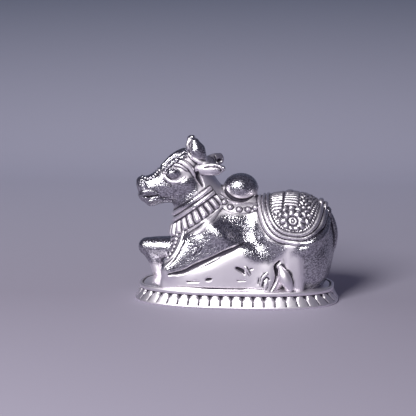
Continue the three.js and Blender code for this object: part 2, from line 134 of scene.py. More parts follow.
FAR_EAR = [
    (-5.8, 2.9, 19.8, 0.8, 0.9), (-4.4, 3.7, 20.2, 0.7, 1.2), (-3.0, 4.2, 20.6, 0.65, 1.25),
    (-2.0, 4.5, 20.9, 0.5, 0.95),
]
# Rounded masses: centre, then radii
HUMP = ((0.75, 0.0, 16.5), (3.0, 2.8, 2.55))
HAUNCH = ((12.3, -3.1, 5.0), (3.8, 3.1, 5.7))
EYE = ((-11.1, -2.5, 19.35), (1.25, 0.85, 0.9))
CHEEK = ((-8.9, -2.0, 17.6), (2.1, 1.6, 1.9))
MUZZLE = ((-15.6, -0.8, 15.5), (1.4, 1.1, 1.3))
# How square the sections are: 2 is an oval, and more is nearer to a box
TORSO_POWER = 2.25
NECK_POWER = 2.1
HEAD_POWER = 2.2
SHEET_POWER = 4.0
SHOULDER_POWER = 3.0

# How the skins are merged and softened
TRUNK_CELL, MASSES_CELL, SKIN_CELL = 0.42, 0.24, 0.13
SOFTENING, STEP_BACK = 0.5, 0.53
FILLET_SHARE = 0.7
# Rounds of averaging, and the depth under the averaged skin that counts as fully hollow
HOLLOW_DEPTHS = [(4, 0.035), (10, 0.11), (22, 0.26)]


def spline(rows, shares):
    """Smooth values at shares of the way along a table, whose first columns are a place."""
    rows = np.asarray(rows, float)
    step = np.linalg.norm(np.diff(rows[:, :3], axis=0), axis=1) ** 0.5
    knots = np.concatenate([[0.0], np.cumsum(step)])
    slopes = np.gradient(rows, knots, axis=0)
    at = np.atleast_1d(shares) * knots[-1]
    i = np.clip(np.searchsorted(knots, at, side="right") - 1, 0, len(rows) - 2)
    gap = (knots[i + 1] - knots[i])[:, None]
    t = (at - knots[i])[:, None] / gap
    return (
        (2 * t**3 - 3 * t**2 + 1) * rows[i] + (t**3 - 2 * t**2 + t) * gap * slopes[i]
        + (3 * t**2 - 2 * t**3) * rows[i + 1] + (t**3 - t**2) * gap * slopes[i + 1]
    )


def signed_power(values, power):
    return np.sign(values) * np.abs(values) ** power


def wrapped(form, sides, bands, place):
    """A grid rolled into a closed skin: place(band, column) gives the points; the end bands are poles."""
    made = bmesh.ops.create_grid(form, x_segments=sides, y_segments=bands, size=1)["verts"]
    flat = np.array([vert.co for vert in made])
    band = np.rint((flat[:, 1] + 1) / 2 * bands).astype(int)
    column = np.rint((flat[:, 0] + 1) / 2 * sides).astype(int) % sides
    for vert, spot in zip(made, place(band, column)):
        vert.co = spot
    edge = [vert for vert, b, c in zip(made, band, column) if c == 0 or b in (0, bands)]
    bmesh.ops.remove_doubles(form, verts=edge, dist=MERGE_DISTANCE)


def skin(form, rings, first, last, sides, power=2.0):
    """A closed skin over rings of middle, across and over, with a point at each end."""
    middle, across, over = (np.array(part) for part in rings)
    bands = len(middle) + 1

    def place(band, column):
        angle = column * 2 * math.pi / sides
        inner = np.clip(band - 1, 0, bands - 2)
        cosine = signed_power(np.cos(angle), 2 / power)[:, None]
        sine = signed_power(np.sin(angle), 2 / power)[:, None]
        spot = middle[inner] + across[inner] * cosine + over[inner] * sine
        spot[band == 0] = first
        spot[band == bands] = last
        return spot

    wrapped(form, sides, bands, place)


def outline_body(form, rows, power, sides=56, steps=48):
    """A body given by its upper and lower outline and its half width."""
    rows = np.asarray(rows, float)
    order = [rows[:, 0], rows[:, 4], rows[:, 1], rows[:, 2], rows[:, 3]]
    upper_x, width, upper_z, lower_x, lower_z = spline(np.column_stack(order), np.linspace(0, 1, steps)).T
    flat = np.zeros(steps)
    upper = np.column_stack([upper_x, flat, upper_z])
    middle = (upper + np.column_stack([lower_x, flat, lower_z])) / 2
    across = np.column_stack([flat, width, flat])
    skin(form, (middle, across, upper - middle), middle[0], middle[-1], sides, power)


def limb(form, rows, sides=32, steps=28, dome=6, power=2.0):
    """An oval tube through its stations, with a domed end at each side."""
    table = spline(rows, np.linspace(0, 1, steps))
    path = table[:, :3]
    along = np.gradient(path, axis=0)
    along /= np.linalg.norm(along, axis=1)[:, None]
    across = np.array([0.0, 1.0, 0.0]) - along * along[:, 1:2]
    across /= np.linalg.norm(across, axis=1)[:, None]
    over = np.cross(along, across)
    turns = np.linspace(0, math.pi / 2, dome, endpoint=False)[1:]
    order = [(0, math.cos(t), -math.sin(t)) for t in turns[::-1]]
    order += [(i, 1.0, 0.0) for i in range(steps)]
    order += [(steps - 1, math.cos(t), math.sin(t)) for t in turns]
    at, shrink, shift = (np.array(column) for column in zip(*order))
    reach = np.minimum(table[at, 3], table[at, 4])
    middle = path[at] + along[at] * (shift * reach)[:, None]
    sizes = table[at, 3:5] * shrink[:, None]
    ends = [path[i] + sign * along[i] * min(table[i, 3:5]) for i, sign in ((0, -1), (-1, 1))]
    skin(form, (middle, across[at] * sizes[:, :1], over[at] * sizes[:, 1:]), *ends, sides, power)


def mass(form, centre, radii, sides=40, bands=28):
    """A rounded mass."""
    turns = np.linspace(0, math.pi, bands + 1)[1:-1, None]
    centre = np.array(centre)
    a, b, c = np.diag(radii)
    rings = (centre + c * np.cos(turns), a * np.sin(turns), b * np.sin(turns))
    skin(form, rings, centre + c, centre - c, sides)


def mirrored(rows):
    """The same stations on the other side."""
    return [(x, -y, *rest) for x, y, *rest in rows]


def mirrored_mass(shape):
    (x, y, z), radii = shape
    return (x, -y, z), radii


def turned(points, angle=HEAD_TURN):
    """Points of the head turned with it, about the upright line through the top of the neck."""
    x, y, z = np.atleast_2d(np.asarray(points, float)).T
    dx, cosine, sine = x - HEAD_PIVOT_X, math.cos(angle), math.sin(angle)
    return np.column_stack([HEAD_PIVOT_X + dx * cosine - y * sine, dx * sine + y * cosine, z])


def mesh_of(form, name):
    """A mesh made of a form, which is used up."""
    mesh = bpy.data.meshes.new(name)
    form.to_mesh(mesh)
    form.free()
    return mesh


def in_scene(name, data):
    """A new object in the scene."""
    made = bpy.data.objects.new(name, data)
    bpy.context.collection.objects.link(made)
    return made


def take_in(form, mesh):
    """Adds a mesh, which is used up, to a form."""
    form.from_mesh(mesh)
    bpy.data.meshes.remove(mesh)


def add_turned(form, part):
    """Moves a form of the head, which was built straight, into another form in its turned place."""
    turn = Matrix.Rotation(HEAD_TURN, 3, "Z")
    bmesh.ops.rotate(part, verts=part.verts, cent=(HEAD_PIVOT_X, 0, 0), matrix=turn)
    take_in(form, mesh_of(part, "carrier"))


def with_modifier(mesh, kind, **settings):
    """The mesh that one modifier makes of another, which is used up."""
    holder = in_scene("holder", mesh)
    modifier = holder.modifiers.new(kind.lower(), kind)
    for name, value in settings.items():
        setattr(modifier, name, value)
    made = bpy.data.meshes.new_from_object(holder.evaluated_get(bpy.context.evaluated_depsgraph_get()))
    bpy.data.objects.remove(holder)
    bpy.data.meshes.remove(mesh)
    return made


def fused(form, cell):
    """The closed forms of a bmesh as one skin of even cells; the bmesh is used up."""
    return with_modifier(mesh_of(form, "rough"), "REMESH", mode="VOXEL", voxel_size=cell)


def triples(items, name):
    """One value of three numbers for each item of a mesh, as rows."""
    flat = np.empty(len(items) * 3, np.float32)
    items.foreach_get(name, flat)
    return flat.reshape(-1, 3).astype(float)


def points_of(mesh):
    """Places of a mesh's points."""
    return triples(mesh.vertices, "co")


def normals_of(mesh):
    """The way out at each point of a mesh."""
    return triples(mesh.vertex_normals, "vector")


def put_points(mesh, points):
    mesh.vertices.foreach_set("co", points.astype(np.float32).ravel())
    mesh.update()


class Neighbours:
    """Averages over the neighbours of each point of a mesh."""

    def __init__(self, mesh):
        pairs = np.empty(len(mesh.edges) * 2, np.int32)
        mesh.edges.foreach_get("vertices", pairs)
        pairs = pairs.reshape(-1, 2)
        self.here = np.concatenate([pairs[:, 0], pairs[:, 1]])
        self.there = np.concatenate([pairs[:, 1], pairs[:, 0]])
        self.size = len(mesh.vertices)
        self.count = np.bincount(self.here, minlength=self.size).astype(float)

    def mean(self, values):
        """The neighbours' average at each point, of one value or of several in columns."""
        if values.ndim == 1:
            return np.bincount(self.here, values[self.there], self.size) / self.count
        return np.column_stack([self.mean(column) for column in values.T])

    def shells(self):
        """A number for each point, the same all over one closed shell."""
        label = np.arange(self.size)
        while True:
            fresh = label.copy()
            np.minimum.at(fresh, label[self.here], label[self.there])
            fresh = fresh[fresh]
            if (fresh == label).all():
                return label
            label = fresh

    def relax(self, points, rounds):
        """Softens a surface; the step back keeps it from shrinking."""
        for _ in range(rounds):
            points = points + SOFTENING * (self.mean(points) - points)
            points = points - STEP_BACK * (self.mean(points) - points)
        return points

    def fillet(self, mesh, rounds):
        """Fills hollow corners, as metal does in a cast joint, and leaves round forms full."""
        for _ in range(rounds):
            points = points_of(mesh)
            normals = normals_of(mesh)
            rise = np.maximum(0.0, np.sum((self.mean(points) - points) * normals, axis=1))
            put_points(mesh, points + FILLET_SHARE * rise[:, None] * normals)

    def hollows(self, mesh):
        """How deep each point lies in a crease or pit, from 0 on open skin to 1."""
        points, normals = points_of(mesh), normals_of(mesh)
        smooth, depth = points, np.zeros(self.size)
        for rounds, full in HOLLOW_DEPTHS:
            for _ in range(rounds):
                smooth = self.mean(smooth)
            depth = np.maximum(depth, np.sum((smooth - points) * normals, axis=1) / full)
        return np.clip(depth, 0.0, 1.0)


def main_shell(mesh):
    """The mesh without the small bubbles that are shut in where two forms nearly touch."""
    label = Neighbours(mesh).shells()
    stray = np.flatnonzero(label != np.bincount(label).argmax())
    form = bmesh.new()
    form.from_mesh(mesh)
    form.verts.ensure_lookup_table()
    bmesh.ops.delete(form, geom=[form.verts[i] for i in stray], context="VERTS")
    form.to_mesh(mesh)
    form.free()
    return mesh


def softened(mesh, fillets, rounds):
    """The mesh with filled corners and a softer skin."""
    near = Neighbours(mesh)
    near.fillet(mesh, fillets)
    put_points(mesh, near.relax(points_of(mesh), rounds))
    return mesh


def trunk():
    """Torso, shoulders and thighs, run together with wide soft joints."""
    form = bmesh.new()
    outline_body(form, [(x, top, x, low, width) for x, top, low, width in TORSO], TORSO_POWER)
    outline_body(form, NECK, NECK_POWER)
    mass(form, *HAUNCH)
    mass(form, *mirrored_mass(HAUNCH))
    for rows in (NEAR_FOREARM, HIND_LEG, mirrored(HIND_LEG)):
        limb(form, rows, power=SHEET_POWER)
    for rows in (NEAR_SHOULDER, mirrored(NEAR_SHOULDER)[:FAR_SHOULDER_STATIONS]):
        limb(form, rows, power=SHOULDER_POWER)
    for rows in (UPPER_ARM, THIGH, mirrored(UPPER_ARM), mirrored(THIGH)):
        limb(form, rows)
    return softened(fused(form, TRUNK_CELL), fillets=26, rounds=5)


def main_masses():
    """The trunk with the head, hump and lower legs, softened where they meet."""
    form = bmesh.new()
    take_in(form, trunk())
    head = bmesh.new()
    outline_body(head, HEAD, HEAD_POWER)
    for shape in (CHEEK, MUZZLE):
        mass(head, *shape)
        mass(head, *mirrored_mass(shape))
    add_turned(form, head)
    mass(form, *HUMP)
    for rows in (HIP_FOLD, mirrored(HIP_FOLD), FAR_FOREARM, FAR_SHANK):
        limb(form, rows)
    for rows in (HIND_SHANK, mirrored(HIND_SHANK)):
        limb(form, rows, power=SHEET_POWER)
    return softened(fused(form, MASSES_CELL), fillets=14, rounds=8)


def body_mesh():
    """The whole bull before its carving: the main masses with horns, ears, eyes, tail and tuft."""
    form = bmesh.new()
    take_in(form, main_masses())
    limb(form, TAIL)
    limb(form, TUFT)
    head = bmesh.new()
    for rows in (HORN, mirrored(HORN), HORN_CUP, FAR_HORN_CUP, NEAR_EAR, FAR_EAR):
        limb(head, rows)
    for shape in (EYE, mirrored_mass(EYE)):
        mass(head, *shape)
    add_turned(form, head)
    return softened(main_shell(fused(form, SKIN_CELL)), fillets=0, rounds=3)


# Carving

# Lines of a side view: path of (x, z) or (x, y, z), half width, height (cuts are below zero)
NEAR_SIDE_LINES = [
    # the border between upper arm and forearm: turned-under strip, dark line, rounded edge
    ([(-10.8, 2.5), (-8.5, 2.95), (-6.2, 4.15), (-4.0, 5.1), (-2.0, 6.1), (0.2, 7.15), (1.9, 8.0)],
     0.55, -0.45),
    ([(-5.6, 3.75), (-3.8, 4.6), (-2.1, 5.5)], 0.15, -0.26),
    # pits and dashes in the forearm
    ([(-9.6, 0.35), (-4.0, 0.3), (2.0, 0.3), (5.6, 0.35)], 0.17, -0.26),
    ([(-4.4, 1.75), (-3.55, 1.95)], 0.34, -0.5),
    ([(-7.8, 1.3), (-5.6, 1.4)], 0.15, -0.2),
    ([(0.7, 3.9), (1.7, 3.4), (2.4, 2.8)], 0.45, -0.6),
    ([(2.2, 4.1), (2.95, 2.8)], 0.16, 0.18),
    ([(2.9, 3.75), (3.5, 3.8)], 0.13, -0.16),
    ([(0.7, 1.7), (2.3, 1.8)], 0.14, -0.16),
    # small bumps on the upper arm
    ([(-6.9, 6.0), (-6.3, 6.5)], 0.26, 0.2),
    ([(-5.9, 6.6), (-5.4, 7.3)], 0.24, 0.18),
    ([(-6.9, 6.9), (-6.2, 7.3), (-5.6, 6.3)], 0.16, -0.14),
    # hoof, and the crease behind it
    ([(4.75, 1.0), (5.2, 2.4), (5.9, 3.1)], 0.22, 0.18),
    ([(5.3, 1.9), (5.9, 2.4), (6.25, 2.0)], 0.17, -0.24),
    ([(5.5, 0.5), (5.75, 1.5)], 0.34, 0.16),
    ([(4.5, 2.3), (4.3, 1.2)], 0.15, -0.12),
    ([(7.9, 5.1), (7.2, 4.3), (7.5, 2.8), (7.2, 1.5), (6.5, 0.2)], 0.34, -0.8),
    # raised front border of the upper arm, and the groove beside it
    ([(-8.45, 9.7), (-8.85, 8.5), (-9.2, 7.4), (-10.25, 5.5), (-12.1, 3.7)], 0.4, 0.24),
    ([(-7.9, 9.6), (-8.3, 8.4), (-8.65, 7.4), (-9.7, 5.3), (-11.4, 3.6)], 0.2, -0.16),
]
BOTH_SIDES_LINES = [
    # strap over the shoulder, and the plain strip under the collar
    ([(-2.6, 15.3), (-1.8, 14.4), (-0.7, 13.8), (0.8, 13.5), (2.3, 13.5), (4.2, 13.9)], 1.1, 0.2),
    ([(-2.3, 13.8), (-3.8, 11.8), (-5.7, 9.9), (-7.9, 8.8)], 0.5, 0.14),
    # groove round the foot of the hump
    ([(-1.9, 17.4), (-1.5, 15.9), (-0.2, 14.9), (1.6, 14.7), (3.1, 15.4), (3.9, 16.4)], 0.36, -0.34),
]
HEAD_LINES = [
    # eyelids, folds and creases round the eye
    ([(-12.5, 19.2), (-11.9, 20.0), (-11.0, 20.35), (-10.1, 20.1), (-9.5, 19.5)], 0.17, -0.24),
    ([(-12.4, 18.9), (-11.6, 18.35), (-10.6, 18.3), (-9.7, 18.9)], 0.15, -0.14),
    ([(-12.8, 19.3), (-12.1, 20.3), (-11.0, 20.8), (-9.8, 20.5), (-8.9, 19.9)], 0.23, 0.26),
    ([(-12.7, 18.9), (-11.7, 17.95), (-10.5, 17.9), (-9.3, 18.7)], 0.24, 0.1),
    ([(-10.9, 21.6), (-9.4, 21.1), (-8.2, 20.1), (-7.6, 18.9)], 0.46, 0.3),
    ([(-13.0, 18.5), (-12.3, 17.6)], 0.13, -0.18),
    ([(-12.5, 18.1), (-11.9, 17.2)], 0.13, -0.18),
    ([(-11.9, 17.8), (-11.4, 17.0)], 0.13, -0.16),
    # mouth, lips and nostril
    ([(-17.3, 15.45), (-16.2, 15.4), (-15.0, 15.3), (-13.6, 15.5)], 0.24, -0.5),
    ([(-16.4, 16.15), (-15.2, 16.2), (-13.9, 15.95)], 0.36, 0.22),
    ([(-13.7, 15.5), (-13.0, 15.1), (-11.6, 15.2)], 0.16, -0.2),
    ([(-15.4, 14.6), (-13.6, 14.75), (-11.4, 14.6)], 0.24, 0.2),
    ([(-16.7, 17.3), (-16.2, 16.95)], 0.26, -0.36),
    ([(-16.9, 17.9), (-16.2, 17.75), (-15.7, 17.0)], 0.16, 0.14),
    # strands of hair over the forehead, and the gaps between them
    ([(-13.0, -0.2, 20.5), (-11.3, -0.2, 22.3), (-9.0, -0.2, 23.6)], 0.3, 0.16),
    ([(-13.0, -1.0, 20.2), (-11.3, -1.35, 21.8), (-9.0, -1.3, 22.95)], 0.22, 0.16),
    ([(-12.8, 19.75), (-11.1, 21.25), (-8.9, 22.45)], 0.2, 0.14),
    ([(-13.0, -0.6, 20.4), (-11.3, -0.85, 22.1), (-9.0, -0.8, 23.2)], 0.2, -0.42),
    ([(-12.9, 19.95), (-11.2, 21.5), (-8.9, 22.7)], 0.17, -0.36),
    ([(-12.6, 19.55), (-10.9, 20.98), (-8.8, 22.1)], 0.17, -0.36),
    # hollows behind the jaw and under the horn
    ([(-7.3, 19.9), (-7.0, 18.6), (-6.3, 17.2)], 0.5, -0.65),
    ([(-8.6, 23.2), (-8.3, 22.2)], 0.36, -0.4),
    # groove under the ear's upper edge, with a bead at its end
    ([(-6.1, 20.4), (-5.2, 20.65), (-4.4, 20.65), (-3.75, 20.5), (-3.35, 19.8)], 0.3, -0.36),
    ([(-3.1, 20.4), (-2.95, 20.4)], 0.32, 0.3),
]
# The face of the far ear that looks towards the near side: a lobe, a line beside it and a hollow
FAR_EAR_LINES = [
    ([(-5.0, 2.4, 20.9), (-4.3, 2.7, 20.7), (-3.7, 3.0, 20.3)], 0.8, 0.55),
    ([(-3.2, 3.4, 21.6), (-2.9, 3.4, 20.7), (-2.85, 3.4, 19.8)], 0.2, -0.35),
    ([(-2.5, 3.6, 20.5), (-2.0, 3.8, 20.5)], 0.6, -0.5),
]
# Rows of beads, their numbers and their radii
NOSE_DOTS = [(-16.2, 18.55), (-15.6, 18.4), (-15.0, 18.5), (-14.4, 18.8), (-13.9, 19.2), (-13.4, 19.7)]
NOSE_DOT_COUNT, NOSE_DOT_RADIUS = 8, 0.2
SHOULDER_BEADS = [(-1.8, 14.4), (-0.7, 13.55), (0.8, 13.2), (2.3, 13.2), (3.6, 13.5)]
CHEST_ROWS = [
    [(-10.6, 9.0), (-10.9, 7.8), (-10.95, 6.6), (-11.3, 5.4), (-11.9, 4.3)],
    [(-9.6, 9.4), (-9.9, 8.0), (-10.15, 6.75), (-10.8, 5.5), (-11.6, 4.3)],
]
SHOULDER_BEAD_RADIUS, SHOULDER_BEAD_STAND = 0.48, 0.1
CHEST_BEAD_COUNT, CHEST_BEAD_RADIUS = 9, 0.36
# How a carved line is laid: the step between its spots and the fewest of them, how its ends thin out,
# and how round it is
SPOT_STEP, FEWEST_SPOTS = 0.07, 4
END_TAPER, TAPER_POWER = 0.14, 0.4
RIDGE_POWER, GROOVE_POWER = 0.5, 1.2
OUTSIDE = 20.0  # well outside the bull


class Carving:
    """Relief on the skin of a mesh: gathered first, then laid on along the normals."""

    def __init__(self, mesh):
        self.mesh = mesh
        self.points = points_of(mesh)
        self.normals = normals_of(mesh)
        self.lift = np.zeros(len(self.points))
        form = bmesh.new()
        form.from_mesh(mesh)
        self.tree = BVHTree.FromBMesh(form)
        form.free()

    def on_skin(self, path, side=NEAR, head=False):
        """Puts a path given from the side, or in full, onto the skin of one side."""
        spots = []
        for spot in path:
            x, y, z = spot if len(spot) == 3 else (spot[0], OUTSIDE * NEAR, spot[1])
            start, inwards = (x, y * side / NEAR, z), (x, 0, z)
            if head:
                start, inwards = turned([start, inwards])
            start, inwards = Vector(start), Vector(inwards)
            if len(spot) == 3:
                found = self.tree.find_nearest(start)[0]
            else:
                found = self.tree.ray_cast(start, inwards - start)[0]
            if found is not None:
                spots.append(found)
        return np.array(spots)

    def line(self, spots, half_width, height):
        """Raises or cuts a rounded line through spots; one spot makes a dot."""
        ends = np.ones(1)
        if len(spots) > 1:
            run = np.linalg.norm(np.diff(spots, axis=0), axis=1).sum()
            count = max(FEWEST_SPOTS, int(run / SPOT_STEP))
            spots = spline(spots, np.linspace(0, 1, count))
            ends = np.sin(np.linspace(END_TAPER, math.pi - END_TAPER, count)) ** TAPER_POWER
        low, high = spots.min(axis=0) - half_width, spots.max(axis=0) + half_width
        box = np.flatnonzero(((self.points > low) & (self.points < high)).all(axis=1))
        if not len(box):
            return
        apart = np.linalg.norm(self.points[box, None] - spots[None], axis=2) / (half_width * ends)
        share = np.clip(1 - apart.min(axis=1) ** 2, 0, 1)
        if height > 0:
            self.lift[box] = np.maximum(self.lift[box], height * share**RIDGE_POWER)
        else:
            self.lift[box] += height * share**GROOVE_POWER

    def lines(self, table, side=NEAR, head=False):
        """Every line of a table."""
        for path, half_width, height in table:
            self.line(self.on_skin(path, side, head), half_width, height)

    def dots(self, path, count, radius, side=NEAR, head=False):
        """A row of beads along a path."""
        row = spline(self.on_skin(path, side, head), np.linspace(0, 1, count))
        for spot in row:
            self.line(spot[None], radius, radius)

    def apply(self):
        """Moves the points of the mesh by the relief gathered so far."""
        put_points(self.mesh, self.points + self.normals * self.lift[:, None])


def rounded(offset, half_width):
    """A rounded ridge: 1 on its line, 0 past its half width."""
    return np.sqrt(np.clip(1 - (offset / half_width) ** 2, 0, 1))


def in_cell(values, pitch):
    """Offset from the middle of repeating cells, in the values' own unit."""
    return (values / pitch - np.floor(values / pitch) - 0.5) * pitch


def ridges(offset, table):
    """Cords and grooves side by side: a table of place, half width and height."""
    return sum(height * rounded(offset - place, half_width) for place, half_width, height in table)


def repeated(values, marks):
    """Rounded marks in a row: marks are their height, pitch and half width."""
    height, pitch, half_width = marks
    return height * rounded(in_cell(values, pitch), half_width)


def dotted(across, down, marks):
    """Rounded dots in a grid: marks are their height, pitch and half width."""
    height, pitch, half_width = marks
    return repeated(across, marks) * rounded(in_cell(down, pitch), half_width)


# Saddle cloth

# Sections of the back and turns round each, from the spine down to the lowest turn
BACK_STATIONS, BACK_TURNS, LOWEST_TURN = 200, 90, -0.5
# Where the back begins, and the cloth's middle, half length, drop at each side and roundness
BACK_FROM_X, BACK_FROM_Z = 3.0, 6.0
CLOTH_X, CLOTH_HALF_LENGTH, CLOTH_DROP, CLOTH_POWER = 10.0, 5.5, 10.25, 2.3
CLOTH_THICKNESS = 0.28
# How far its hem lies outside the cords, and over what width that rises
HEM_WIDTH, HEM_RISE = 0.85, 0.3
# How polished it is, which also paints it darker as painted shade, and from how far inside its edge
CLOTH_POLISH_AND_SHADE, POLISH_INSIDE = 0.25, 0.1


def drop_over_back(points):
    """How far down each side a point lies, measured over the back from the spine."""
    order = [(x, width, top, low) for x, top, low, width in TORSO]
    x, width, top, low = spline(order, np.linspace(0, 1, BACK_STATIONS)).T
    half, middle = (top - low) / 2, (top + low) / 2
    angles = np.linspace(math.pi / 2, LOWEST_TURN, BACK_TURNS)
    across = signed_power(np.cos(angles), 2 / TORSO_POWER)
    above = signed_power(np.sin(angles), 2 / TORSO_POWER)
    steps = np.hypot(width[:, None] * np.diff(across), half[:, None] * np.diff(above))
    gone = np.column_stack([np.zeros(BACK_STATIONS), np.cumsum(steps, axis=1)])
    at = np.rint(np.interp(points[:, 0], x, np.arange(BACK_STATIONS))).astype(int)
    share_y = np.abs(points[:, 1]) / width[at]
    share_z = (points[:, 2] - middle[at]) / half[at]
    angle = np.arctan2(signed_power(share_z, TORSO_POWER / 2), share_y ** (TORSO_POWER / 2))
    last = BACK_TURNS - 1
    place = np.clip((math.pi / 2 - angle) / (math.pi / 2 - LOWEST_TURN) * last, 0, last)
    first = np.minimum(place.astype(int), last - 1)
    part = place - first
    return gone[at, first] * (1 - part) + gone[at, first + 1] * part


def on_back(points):
    """Which points lie on the back, where the cloth is."""
    return (points[:, 0] > BACK_FROM_X) & (points[:, 2] > BACK_FROM_Z)


# Cords and grooves of the cloth: how far inside its edge, half width, height (below zero in grooves)
CLOTH_CORDS = [(0.3, 0.3, 0.3), (0.98, 0.29, 0.34), (-0.06, 0.11, -0.16), (0.64, 0.09, -0.14)]
# Row of dots inside the cords: how far inside, half width, and the radius that it runs at
EDGE_ROW_PLACE, EDGE_ROW_HALF, EDGE_ROW_RADIUS = 1.5, 0.2, 7.8
# The pattern fills the rest, and a round boss stands on the spine
FIELD_INSIDE = 1.72
BOSS_X, BOSS_RADIUS, BOSS_HEIGHT = 9.2, 1.0, 0.5
# Marks of the pattern: height, pitch and half width of one mark
EDGE_DOTS = (0.16, 0.56, 0.22)
BARS = (0.24, 0.64, 0.26)
SLANTED_LINES = (0.1, 0.4, 0.14)
BLOCK_ROWS = (0.28, 0.74, 0.28)
BLOCKS_IN_ROW = (1.0, 0.98, 0.4)
REAR_DOTS = (0.22, 0.5, 0.2)
LOWER_DOTS = (0.1, 0.5, 0.18)
# Plain border of the strip: how far beside it, half width, height
STRIP_BORDER = (0.1, 0.09, 0.14)
# How the rows of blocks wave, how far every second row is shifted, and how lines and rear dots slant
WAVE_HEIGHT, WAVE_TURNS, ROW_SHIFT = 0.25, 3.1, 0.5
LINES_ALONG, LINES_DOWN, DOTS_SLANT = 0.8, 0.6, 0.25
# Where the parts of the pattern begin and end along the bull, and how far down they reach
STRIP_X, STRIP_HALF = 9.6, 1.0
BARS_FROM, BARS_TO = 6.3, STRIP_X - STRIP_HALF - 0.35
SLANTED_TO = 6.2
BLOCKS_FROM, BLOCKS_TO = STRIP_X + STRIP_HALF + 0.3, 12.9
WEAVE_DROP = 5.7
# The rosette from its middle out: radius, half width and height of a ring, its lobes and their
# half width
ROSETTE_X, ROSETTE_DROP, ROSETTE_RADIUS = 10.05, 7.1, 2.7
ROSETTE_RINGS = [
    (0.0, 0.28, 0.2, 0, 0),
    (0.5, 0.19, 0.2, 0, 0),
    (1.45, 0.56, 0.34, 9, 0.47),
    (2.4, 0.3, 0.24, 13, 0.46),
]


def rosette(x, drop):
    """A flower in the cloth, with a boss in a ring, petals and a scalloped border, and its reach."""
    dx, ds = x - ROSETTE_X, drop - ROSETTE_DROP
    out, angle = np.hypot(dx, ds), np.arctan2(ds, dx)
    rings = []
    for radius, half_width, height, lobes, half_lobe in ROSETTE_RINGS:
        ring = height * rounded(out - radius, half_width)
        if lobes:
            ring = ring * rounded(in_cell(angle, 2 * math.pi / lobes) * out, half_lobe)
        rings.append(ring)
    return np.maximum.reduce(rings), out < ROSETTE_RADIUS


def woven_field(x, drop):
    """Bars in front and in a bordered strip, blocks behind it, dots at the rear and below."""
    beside_strip = np.abs(x - STRIP_X) - STRIP_HALF
    bars = repeated(drop, BARS)
    waved = drop + WAVE_HEIGHT * np.sin(x * WAVE_TURNS)
    row = np.floor(waved / BLOCK_ROWS[1])
    blocks = repeated(waved, BLOCK_ROWS) * repeated(x + ROW_SHIFT * (row % 2), BLOCKS_IN_ROW)
    weave = np.maximum.reduce([
        bars * (beside_strip < 0),
        ridges(beside_strip, [STRIP_BORDER]),
        bars * (x > BARS_FROM) * (x < BARS_TO),
        repeated(x * LINES_ALONG + drop * LINES_DOWN, SLANTED_LINES) * (x <= SLANTED_TO),
        blocks * (x > BLOCKS_FROM) * (x < BLOCKS_TO),
        dotted(x + DOTS_SLANT * drop, drop, REAR_DOTS) * (x >= BLOCKS_TO),
    ])
    return np.where(drop < WEAVE_DROP, weave, dotted(x, drop, LOWER_DOTS))


def cloth_lift(x, drop):
    """Height of the saddle cloth over the back, and where it is polished."""
    along, down = np.abs(x - CLOTH_X) / CLOTH_HALF_LENGTH, drop / CLOTH_DROP
    reach = (along**CLOTH_POWER + down**CLOTH_POWER) ** (1 / CLOTH_POWER) + TINY
    slope_x = (along / reach) ** (CLOTH_POWER - 1) / CLOTH_HALF_LENGTH
    slope_down = (down / reach) ** (CLOTH_POWER - 1) / CLOTH_DROP
    inside = (1 - reach) / np.hypot(slope_x, slope_down)
    lift = CLOTH_THICKNESS * np.clip((inside + HEM_WIDTH) / HEM_RISE, 0, 1) + ridges(inside, CLOTH_CORDS)
    round_edge = np.arctan2(down, (x - CLOTH_X) / CLOTH_HALF_LENGTH) * EDGE_ROW_RADIUS
    lift += repeated(round_edge, EDGE_DOTS) * rounded(inside - EDGE_ROW_PLACE, EDGE_ROW_HALF)
    flower, in_flower = rosette(x, drop)
    lift += (inside > FIELD_INSIDE) * np.where(in_flower, flower, woven_field(x, drop))
    boss = (BOSS_HEIGHT + CLOTH_THICKNESS) * rounded(np.hypot(x - BOSS_X, drop), BOSS_RADIUS)
    return np.where(inside > -HEM_WIDTH, np.maximum(lift, boss), 0), inside > POLISH_INSIDE


# Collar: middle of its loop, which slopes from the nape down to the throat; sizes round it
COLLAR_MIDDLE = (-6.6, 14.9)
COLLAR_SLOPE = math.atan2(0.584, 0.811)
COLLAR_HALF_DEEP, COLLAR_HALF_WIDE = 5.1, 4.1
ROUND_NECK_STEPS = 721
# Its cords and grooves: place over the loop, half width, height
COLLAR_CORDS = [(0.05, 0.4, 0.42), (-0.83, 0.36, 0.36), (-0.41, 0.08, -0.16), (-1.3, 0.1, -0.16)]
# Its pendants: their half width is a share of the step, and they are shorter at nape and throat
PENDANTS = 26
PENDANT_TOP, PENDANT_LENGTH, PENDANT_SHORTER = -1.36, 2.1, 0.28
PENDANT_HALF, PENDANT_HEIGHT, PENDANT_POWER = 0.36, 0.55, 6
# The roll under them: how far below, half width, height
ROLL = (-0.22, 0.2, 0.16)
# Where the skin belongs to the neck: reach round the loop at cords and at pendants, the height at
# which the one gives way to the other, and the collar's borders
CORD_REACH, PENDANT_REACH, REACH_CHANGE = 1.28, 1.75, -0.6
COLLAR_REAR, COLLAR_LOW, COLLAR_HIGH = -3.2, -4.2, 0.6


